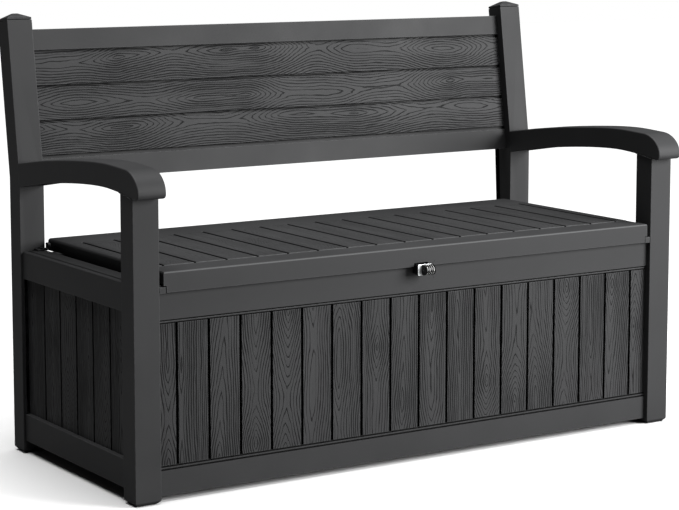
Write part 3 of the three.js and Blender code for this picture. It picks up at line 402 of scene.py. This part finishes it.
def resin_material(name, figure=None):
    """Moulded resin; figure gives the board figure's sockets and the mask of where the boards are."""
    resin = bpy.context.scene.bench_resin
    boards = bpy.context.scene.bench_boards
    material, n, shader = new_material(name)
    place = n.add("ShaderNodeTexCoord").outputs["Object"]
    skin = n.group(group_named("Moulded skin"), place=place)
    lighter_edge = n.group(group_named("Edge lightening"), place=place, radius=0.0022, amount=resin.wear)[0]
    tone = n.span(skin["Tone"], 0.3, 0.7, 0.86, 1.14)
    height = n.math("MULTIPLY", skin["Height"], 0.00006)
    gloss = n.span(skin["Gloss"], 0.3, 0.7, resin.roughness - 0.06, resin.roughness + 0.06)
    colour = n.tinted(tuple(resin.colour), tone)
    if figure is not None:
        lines, board_tone, board_height, on_board, groove_shade, strength, *painted_highlight = figure(n, place)
        kept = n.math("MULTIPLY", n.math("MULTIPLY", lines, on_board), strength)
        grey = n.math("MULTIPLY_ADD", n.math("SUBTRACT", board_tone, 0.5), 0.9, 1.0 + 0.12 * strength)
        shade = n.math("ADD", n.math("MULTIPLY", grey, on_board), n.math("SUBTRACT", 1.0, on_board))
        colour = n.tinted(colour, shade)
        # the grain lines are coloured with the near black of the painted shade
        colour = n.mix(kept, colour, tuple(resin.groove_colour))
        # painted shade: the grooves are coloured near black where shade falls in them
        colour = n.mix(groove_shade, colour, tuple(resin.groove_colour))
        lighter_edge = n.math("MULTIPLY", lighter_edge, n.math("SUBTRACT", 1.0, groove_shade))
        # painted highlight: each extra mask from the figure lightens that edge towards the highlight colour
        for extra in painted_highlight:
            lighter_edge = n.math("MAXIMUM", lighter_edge, n.math("MULTIPLY", extra, EDGE_HIGHLIGHT_STRENGTH))
        carved = n.math("MULTIPLY", n.math("MULTIPLY", board_height, on_board), boards.depth)
        height = n.math("ADD", height, carved)
        gloss = n.math("MULTIPLY_ADD", kept, 0.25, gloss, clamp=True)
    # the edges are lightened towards the scuff-and-highlight colour: scuffing, and a painted highlight along
    # every convex edge
    colour = n.mix(lighter_edge, colour, tuple(resin.worn_colour))
    n.feed(shader["Base Color"], colour)
    n.feed(shader["Roughness"], n.math("MULTIPLY_ADD", lighter_edge, -0.08, gloss, clamp=True))
    bump = n.add("ShaderNodeBump", {"Height": height, "Distance": 1.0, "Strength": 1.0})
    n.feed(shader["Normal"], bump.outputs[0])
    shader["Specular IOR Level"].default_value = 0.12
    return material


def depth_band(n, sunk, floor):
    """1 from just under a face down to the floor of the grooves: the band where painted shade goes."""
    return n.math("MULTIPLY", n.step(sunk, 0.0001, 0.0004), n.step(sunk, floor, floor + 0.0006, 1.0, 0.0))


def within(n, value, start, end, soft=0.0006):
    """1 between start and end, 0 outside."""
    rise = n.step(value, start - soft, start + soft)
    fall = n.step(value, end - soft, end + soft, 1.0, 0.0)
    return n.math("MULTIPLY", rise, fall)


# ---------------------------------------------------------------- pieces
def soften(obj, width, segments=2, angle=30):
    """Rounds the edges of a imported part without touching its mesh."""
    weld = obj.modifiers.new("weld", "WELD")
    weld.merge_threshold = 0.00002
    flat = obj.modifiers.new("flat", "DECIMATE")
    flat.decimate_type = "DISSOLVE"
    flat.angle_limit = math.radians(0.4)
    bevel = obj.modifiers.new("edges", "BEVEL")
    bevel.width = width
    bevel.segments = segments
    bevel.limit_method = "ANGLE"
    bevel.angle_limit = math.radians(angle)
    bevel.use_clamp_overlap = False
    bevel.miter_outer = "MITER_ARC"
    normals = obj.modifiers.new("normals", "WEIGHTED_NORMAL")
    normals.keep_sharp = False
    normals.weight = 100


def finish_node(node, material, width=None, **how):
    obj = node_object(node)
    obj.material_slots[0].material = material
    if width:
        soften(obj, width, **how)


class BENCH_OT_finishes(Operator):
    """Builds the node groups that the bench's materials share."""

    bl_idname = "bench.finishes"
    bl_label = "Finishes"

    def execute(self, context):
        board_figure()
        moulded_skin()
        edge_wear()
        return {"FINISHED"}


class BENCH_OT_posts(Operator):
    """Finishes the four posts, their caps, the armrests and the floor panel in plain moulded resin."""

    bl_idname = "bench.posts"
    bl_label = "Posts and armrests"

    def execute(self, context):
        resin = context.scene.bench_resin
        plain = resin_material("Moulded resin")
        for side in SIDES:
            for node in ("front_post", "rear_post", "post_cap"):
                finish_node(f"{node}_{side}", plain, resin.edge)
            finish_node(f"armrest_{side}", plain, resin.arm_edge, segments=4, angle=50)
            for level in ("lower", "upper"):
                finish_node(f"back_peg_{level}_{side}", plain, resin.edge)
        finish_node("floor_panel", plain, resin.edge)
        return {"FINISHED"}


class BENCH_OT_panels(Operator):
    """Gives the front, rear and side panels their carved planks."""

    bl_idname = "bench.panels"
    bl_label = "Box panels"

    def execute(self, context):
        resin = context.scene.bench_resin
        boards = context.scene.bench_boards
        bottom, top = PLANK_ENDS
        near, far = -0.0040, -0.0085
        quirks = (
            (top, near), (top + BEAD, far), (bottom - QUIRK, near), (bottom - BEAD - QUIRK, far),
        )

        def long_panel(face, seed, inward):
            def figure(n, place):
                x, y, z = n.parts(place)
                lines, tone, height = n.group(
                    group_named("Board figure"), across=x, along=z, board=boards.plank_pitch,
                    ring=boards.ring, line=boards.line, sweep=0.62, seed=seed,
                )[:3]
                on_board = within(n, z, bottom, top)
                sunk = n.math("MULTIPLY", n.math("SUBTRACT", y, face), inward)
                # painted shade: the grooves between the planks, and the quirks beside the beads, are coloured
                # near black
                groove_shade = depth_band(n, sunk, 0.0078)
                near_face = n.step(sunk, 0.0045, 0.0055, 1.0, 0.0)
                for z0, depth in quirks:
                    level = within(n, z, z0, z0 + QUIRK, 0.0002)
                    slot = n.math("MULTIPLY", level, n.step(sunk, depth, depth + 0.001))
                    groove_shade = n.math("MAXIMUM", groove_shade, n.math("MULTIPLY", slot, near_face))
                return lines, tone, height, on_board, groove_shade, PLANK_STRENGTH
            return figure

        front = long_panel(low("front_panel").y + FRONT_PLANK_FACE, 3.0, 1.0)
        rear = long_panel(high("rear_panel").y - REAR_PLANK_FACE, 8.0, -1.0)
        finish_node("front_panel", resin_material("Front planks", front), resin.fine_edge)
        finish_node("rear_panel", resin_material("Rear planks", rear), resin.fine_edge)
        for side, sign in zip(SIDES, (-1, 1)):
            panel = f"side_panel_{side}"
            face = high(panel).x - SIDE_PLANK_FACE if sign > 0 else low(panel).x + SIDE_PLANK_FACE
            centre = (high("front_post_left").y + low("rear_post_left").y) / 2

            def figure(n, place, face=face, sign=sign, centre=centre):
                x, y, z = n.parts(place)
                lines, tone, height = n.group(
                    group_named("Board figure"), across=n.math("SUBTRACT", y, centre), along=z,
                    board=boards.side_pitch, ring=boards.ring, line=boards.line, sweep=0.62, seed=14.0 + sign,
                )[:3]
                on_board = within(n, z, low(panel).z + SIDE_RAIL, high(panel).z - SIDE_RAIL)
                sunk = n.math("MULTIPLY", n.math("SUBTRACT", x, face), -sign)
                # painted shade: the grooves between the side planks are coloured near black
                return lines, tone, height, on_board, depth_band(n, sunk, 0.0054), PLANK_STRENGTH
            finish_node(panel, resin_material(f"Side planks {side}", figure), resin.fine_edge)
        return {"FINISHED"}


class BENCH_OT_backrest(Operator):
    """Gives the backrest its three carved boards between two plain rails."""

    bl_idname = "bench.backrest"
    bl_label = "Backrest"

    def execute(self, context):
        resin = context.scene.bench_resin
        boards = context.scene.bench_boards
        bend = Vector((0, low("rear_post_left").y, BEND_HEIGHT))
        up = Vector((0, math.sin(boards.rake), math.cos(boards.rake)))

        def figure(n, place):
            x, y, z = n.parts(place)
            rise = n.math("ADD", n.math("MULTIPLY", n.math("SUBTRACT", z, bend.z), up.z),
                          n.math("MULTIPLY", n.math("SUBTRACT", y, bend.y), up.y))
            depth = n.math("SUBTRACT", n.math("MULTIPLY", n.math("SUBTRACT", y, bend.y), up.z),
                           n.math("MULTIPLY", n.math("SUBTRACT", z, bend.z), up.y))
            across = n.math("SUBTRACT", rise, BACK_RAIL_TOP)
            lines, tone, height = n.group(
                group_named("Board figure"), across=across, along=x, board=boards.back_pitch,
                ring=boards.ring, line=boards.line, sweep=0.50, seed=21.0,
            )[:3]
            on_board = within(n, across, 0.0, boards.back_pitch * 3)
            # painted shadow: the grooves between the boards are coloured near black in their upper part and
            # at 0.35 of that lower down
            front = n.step(depth, 0.0200, 0.0216)
            rear = n.step(depth, 0.0344, 0.0360, 1.0, 0.0)
            turn = n.math("FRACT", n.math("ADD", n.math("DIVIDE", across, boards.back_pitch), 0.5))
            above = n.math("MULTIPLY", n.math("SUBTRACT", turn, 0.5), boards.back_pitch)
            gap = n.step(above, -0.0026, -0.0018, 0.35, 1.0)
            groove_shade = n.math("MULTIPLY", n.math("MULTIPLY", front, rear), gap)
            return lines, tone, height, on_board, groove_shade, BACK_STRENGTH

        finish_node("backrest", resin_material("Back boards", figure), resin.fine_edge)
        return {"FINISHED"}


class BENCH_OT_lid(Operator):
    """Finishes the seat lid, its slats and the liner under it."""

    bl_idname = "bench.lid"
    bl_label = "Seat lid"

    def execute(self, context):
        resin = context.scene.bench_resin
        boards = context.scene.bench_boards
        top = high("lid_shell").z
        nose = low("lid_shell").y
        front = nose + LID_FRONT_BAND

        def figure(n, place):
            x, y, z = n.parts(place)
            lines, tone, height = n.group(
                group_named("Board figure"), across=x, along=y, board=boards.plank_pitch,
                ring=boards.ring, line=boards.line, sweep=0.36, seed=31.0,
            )[:3]
            on_top = n.step(z, top - 0.0009, top - 0.0003)
            behind = within(n, y, front + 0.0012, front + SLAT_LENGTH)
            end = boards.plank_pitch * OUTER_SLATS
            inner = n.step(n.math("ABSOLUTE", x), end - boards.plank_pitch * 0.05, end, 1.0, 0.0)
            on_board = n.math("MULTIPLY", n.math("MULTIPLY", on_top, behind), inner)
            turn = n.math("FRACT", n.math("ADD", n.math("DIVIDE", x, boards.plank_pitch), 0.5))
            off = n.math("MULTIPLY", n.math("ABSOLUTE", n.math("SUBTRACT", turn, 0.5)), boards.plank_pitch)
            # painted shade: a near-black band about 8 mm wide along each slat joint, wider than the grooves
            # cut in the lid, so it reaches onto the slats' tops
            sunk = n.step(off, 0.0038, 0.0044, 1.0, 0.0)
            above = n.step(z, top - 0.0072, top - 0.0066)
            groove_shade = n.math("MULTIPLY", n.math("MULTIPLY", sunk, above), n.math("MULTIPLY", behind, inner))
            # painted highlight: the lid's front top edge is lightened towards the highlight colour
            outer = n.step(y, nose, nose + 0.0030, 1.0, 0.0)
            painted_highlight = n.math("MULTIPLY", outer, n.step(z, top - 0.0048, top - 0.0030))
            return lines, tone, height, on_board, groove_shade, SLAT_STRENGTH, painted_highlight

        finish_node("lid_shell", resin_material("Lid slats", figure), resin.fine_edge)
        finish_node("lid_liner", resin_material("Lid liner"), resin.edge)
        return {"FINISHED"}


def metal_material(name, colour, roughness, scratch):
    material, n, shader = new_material(name)
    place = n.add("ShaderNodeTexCoord").outputs["Object"]
    skin = n.group(group_named("Moulded skin"), place=place, pebble=scratch, patches=120.0)
    tone = n.span(skin["Tone"], 0.3, 0.7, 0.85, 1.1)
    n.feed(shader["Base Color"], n.tinted(colour, tone))
    n.feed(shader["Roughness"], n.span(skin["Gloss"], 0.3, 0.7, roughness * 0.7, roughness * 1.4))
    bump = n.add("ShaderNodeBump", {"Height": skin["Height"], "Distance": 0.00003, "Strength": 1.0})
    n.feed(shader["Normal"], bump.outputs[0])
    shader["Metallic"].default_value = 1.0
    return material


def plastic_material(name, colour, roughness):
    material, n, shader = new_material(name)
    place = n.add("ShaderNodeTexCoord").outputs["Object"]
    skin = n.group(group_named("Moulded skin"), place=place, pebble=1800.0, patches=90.0)
    lighter_edge = n.group(group_named("Edge lightening"), place=place, radius=0.0005, amount=0.5)[0]
    tone = n.span(skin["Tone"], 0.3, 0.7, 0.8, 1.2)
    base = n.tinted(colour, tone)
    n.feed(shader["Base Color"], n.mix(lighter_edge, base, (0.03, 0.03, 0.03, 1.0)))
    shader["Specular IOR Level"].default_value = 0.22
    n.feed(shader["Roughness"], n.span(skin["Gloss"], 0.3, 0.7, roughness - 0.06, roughness + 0.08))
    bump = n.add("ShaderNodeBump", {"Height": skin["Height"], "Distance": 0.00002, "Strength": 1.0})
    n.feed(shader["Normal"], bump.outputs[0])
    return material


class BENCH_OT_hinges(Operator):
    """Finishes the hinge brackets, pins and screws."""

    bl_idname = "bench.hinges"
    bl_label = "Hinges"

    def execute(self, context):
        zinc = metal_material("Zinc steel", (0.42, 0.43, 0.44, 1.0), 0.36, 900.0)
        dark = metal_material("Blackened steel", (0.035, 0.035, 0.037, 1.0), 0.42, 900.0)
        bracket = plastic_material("Black bracket", (0.012, 0.012, 0.013, 1.0), 0.45)
        for side in SIDES:
            finish_node(f"hinge_bracket_{side}", bracket, 0.0006)
            finish_node(f"hinge_pin_{side}", dark, 0.0005)
            finish_node(f"hinge_screw_{side}", dark, 0.0003)
        for node in ("lock_strike", "strike_screw_1", "strike_screw_2"):
            finish_node(node, zinc, 0.0003)
        return {"FINISHED"}


class BENCH_OT_lock(Operator):
    """Finishes the lock: black body and knob, chrome plate, steel cam, nut and spindle."""

    bl_idname = "bench.lock"
    bl_label = "Lock"

    def execute(self, context):
        zinc = bpy.data.materials["Zinc steel"]
        chrome = metal_material("Lock chrome", (0.5, 0.51, 0.515, 1.0), 0.4, 1500.0)
        black = plastic_material("Black plastic", (0.003, 0.003, 0.0033, 1.0), 0.34)
        finish_node("lock_body", black, 0.0008)
        finish_node("lock_knob", black, 0.0008, segments=3)
        finish_node("lock_plate", chrome, 0.0006, segments=3)
        for node in ("lock_cam", "lock_nut", "lock_spindle", "wheel_axle"):
            finish_node(node, zinc, 0.0003)
        for i in range(1, 5):
            finish_node(f"number_wheel_{i}", black, 0.0003)
        return {"FINISHED"}


class BENCH_OT_digits(Operator):
    """Paints the numbers round each wheel of the lock."""

    bl_idname = "bench.digits"
    bl_label = "Wheel numbers"

    def execute(self, context):
        lock = context.scene.bench_lock
        paint, n, shader = new_material("Digit paint")
        place = n.add("ShaderNodeTexCoord").outputs["Object"]
        skin = n.group(group_named("Moulded skin"), place=place, pebble=3000.0, patches=400.0)
        tone = n.span(skin["Tone"], 0.3, 0.7, 0.85, 1.1)
        colour = n.tinted(tuple(lock.digit_colour), tone)
        n.feed(shader["Base Color"], colour)
        n.feed(shader["Roughness"], n.span(skin["Gloss"], 0.3, 0.7, 0.4, 0.55))
        glyphs = [self.glyph(str(d), lock.digit_height) for d in range(lock.digits)]
        for i in range(1, 5):
            wheel = f"number_wheel_{i}"
            self.build(wheel, glyphs, paint, i)
        return {"FINISHED"}

    def glyph(self, text, height):
        curve = bpy.data.curves.new(f"glyph_{text}", "FONT")
        curve.body = text
        curve.size = 1.0
        curve.align_x = "CENTER"
        curve.align_y = "CENTER"
        curve.resolution_u = 3
        obj = bpy.data.objects.new(f"glyph_{text}", curve)
        bpy.context.scene.collection.objects.link(obj)
        bpy.context.view_layer.update()
        mesh = bpy.data.meshes.new_from_object(obj.evaluated_get(bpy.context.evaluated_depsgraph_get()))
        bpy.data.objects.remove(obj)
        bpy.data.curves.remove(curve)
        zs = [v.co.y for v in mesh.vertices]
        mesh.transform(Matrix.Scale(height / (max(zs) - min(zs)), 4))
        return mesh

    def build(self, wheel, glyphs, paint, number):
        centre = middle(wheel)
        radius = (high(wheel).z - low(wheel).z) / 2
        made = bmesh.new()
        count = len(glyphs)
        for k, glyph in enumerate(glyphs):
            angle = 2 * math.pi * (k + number * 3) / count
            part = bmesh.new()
            part.from_mesh(glyph)
            bmesh.ops.triangulate(part, faces=part.faces)
            bmesh.ops.solidify(part, geom=part.faces, thickness=0.00008)
            for v in part.verts:
                turn = angle + v.co.y / radius
                out = radius + 0.00005 + v.co.z
                v.co = Vector((
                    centre.x + v.co.x * DIGIT_NARROWING,
                    centre.y - math.cos(turn) * out,
                    centre.z + math.sin(turn) * out,
                ))
            scratch = bpy.data.meshes.new("scratch")
            part.to_mesh(scratch)
            part.free()
            made.from_mesh(scratch)
            bpy.data.meshes.remove(scratch)
        mesh = bpy.data.meshes.new(f"{wheel}_digits")
        bmesh.ops.recalc_face_normals(made, faces=made.faces)
        made.to_mesh(mesh)
        made.free()
        mesh.materials.append(paint)
        obj = bpy.data.objects.new(f"{wheel}_digits", mesh)
        bpy.context.scene.collection.objects.link(obj)
        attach(obj, body_of_node(wheel))


# ---------------------------------------------------------------- studio
class BENCH_OT_studio(Operator):
    """Sets the floor, the soft lights and the camera."""

    bl_idname = "bench.studio"
    bl_label = "Studio"

    def execute(self, context):
        stage = context.scene.bench_stage
        self.floor(stage)
        self.world(stage)
        self.area("Key light", KEY_PLACE, KEY_TARGET, KEY_SIZE, stage.key_power)
        self.overhead(stage)
        camera = bpy.data.cameras.new("Camera")
        camera.lens = stage.lens
        camera.sensor_width = 36.0
        camera.shift_y = -0.1
        camera.clip_end = 60
        obj = bpy.data.objects.new("Camera", camera)
        obj.location = CAMERA_PLACE
        obj.rotation_euler = Euler((math.radians(90 - CAMERA_DIP), 0, math.radians(CAMERA_TURN)), "XYZ")
        context.scene.collection.objects.link(obj)
        context.scene.camera = obj
        context.scene.view_settings.view_transform = "Standard"
        return {"FINISHED"}

    def area(self, name, place, target, size, power):
        light = bpy.data.lights.new(name, "AREA")
        light.shape = "RECTANGLE"
        light.size, light.size_y = size
        light.energy = power
        obj = bpy.data.objects.new(name, light)
        obj.location = place
        direction = Vector(target) - Vector(place)
        obj.rotation_euler = direction.to_track_quat("-Z", "Y").to_euler()
        obj.visible_camera = False
        bpy.context.scene.collection.objects.link(obj)

    def overhead(self, stage):
        light = bpy.data.lights.new("Overhead light", "SUN")
        light.energy = stage.sky
        light.angle = stage.sky_angle
        bpy.context.scene.collection.objects.link(bpy.data.objects.new("Overhead light", light))

    def floor(self, stage):
        mesh = bpy.data.meshes.new("studio_floor")
        made = bmesh.new()
        reach = 14.0
        turns = ((-reach, -reach), (reach, -reach), (reach, reach), (-reach, reach))
        corners = [made.verts.new((x, y, 0)) for x, y in turns]
        made.faces.new(corners)
        made.to_mesh(mesh)
        made.free()
        floor = bpy.data.objects.new("studio_floor", mesh)
        material, n, shader = new_material("Floor")
        place = n.add("ShaderNodeTexCoord").outputs["Object"]
        tone = n.span(n.noise(place, 1.5, 3.0), 0.3, 0.7, 0.985, 1.0)
        seen = n.add("ShaderNodeLightPath").outputs["Is Camera Ray"]
        colour = n.mix(seen, tuple(stage.floor_bounce), tuple(stage.floor_colour))
        n.feed(shader["Base Color"], n.tinted(colour, tone))
        shader["Roughness"].default_value = 0.9
        mesh.materials.append(material)
        bpy.context.scene.collection.objects.link(floor)

    def world(self, stage):
        world = bpy.data.worlds.new("Studio")
        world.use_nodes = True
        world.node_tree.nodes.clear()
        n = Nodes(world.node_tree)
        seen = n.add("ShaderNodeLightPath").outputs["Is Camera Ray"]
        strength = n.span(seen, 0.0, 1.0, stage.ambient, 1.0)
        background = n.add("ShaderNodeBackground", {"Color": (1, 1, 1, 1), "Strength": strength})
        output = n.add("ShaderNodeOutputWorld")
        world.node_tree.links.new(background.outputs[0], output.inputs["Surface"])
        bpy.context.scene.world = world


class BENCH_PT_sidebar(Panel):
    """Lists the bench's settings and the steps that finish it."""

    bl_idname = "BENCH_PT_sidebar"
    bl_label = "Storage bench"
    bl_space_type = "VIEW_3D"
    bl_region_type = "UI"
    bl_category = "Storage bench"

    def draw(self, context):
        layout = self.layout
        for group in (name for name, _ in SETTINGS):
            box = layout.box()
            settings = getattr(context.scene, group)
            for name in settings.__annotations__:
                box.prop(settings, name)
        for step in STEPS:
            layout.operator(step.bl_idname)


SETTINGS = (
    ("bench_resin", BENCH_PG_resin),
    ("bench_boards", BENCH_PG_boards),
    ("bench_lock", BENCH_PG_lock),
    ("bench_stage", BENCH_PG_stage),
)
STEPS = (
    BENCH_OT_studio,
    BENCH_OT_finishes,
    BENCH_OT_posts,
    BENCH_OT_panels,
    BENCH_OT_backrest,
    BENCH_OT_lid,
    BENCH_OT_hinges,
    BENCH_OT_lock,
    BENCH_OT_digits,
)
CLASSES = (*(group for _, group in SETTINGS), *STEPS, BENCH_PT_sidebar)


def register():
    for cls in CLASSES:
        bpy.utils.register_class(cls)
    for name, group in SETTINGS:
        setattr(bpy.types.Scene, name, PointerProperty(type=group))


def unregister():
    for name, _ in SETTINGS:
        delattr(bpy.types.Scene, name)
    for cls in reversed(CLASSES):
        bpy.utils.unregister_class(cls)


def main():
    register()
    for step in STEPS:
        area, name = step.bl_idname.split(".")
        getattr(getattr(bpy.ops, area), name)()


if __name__ == "__main__":
    main()
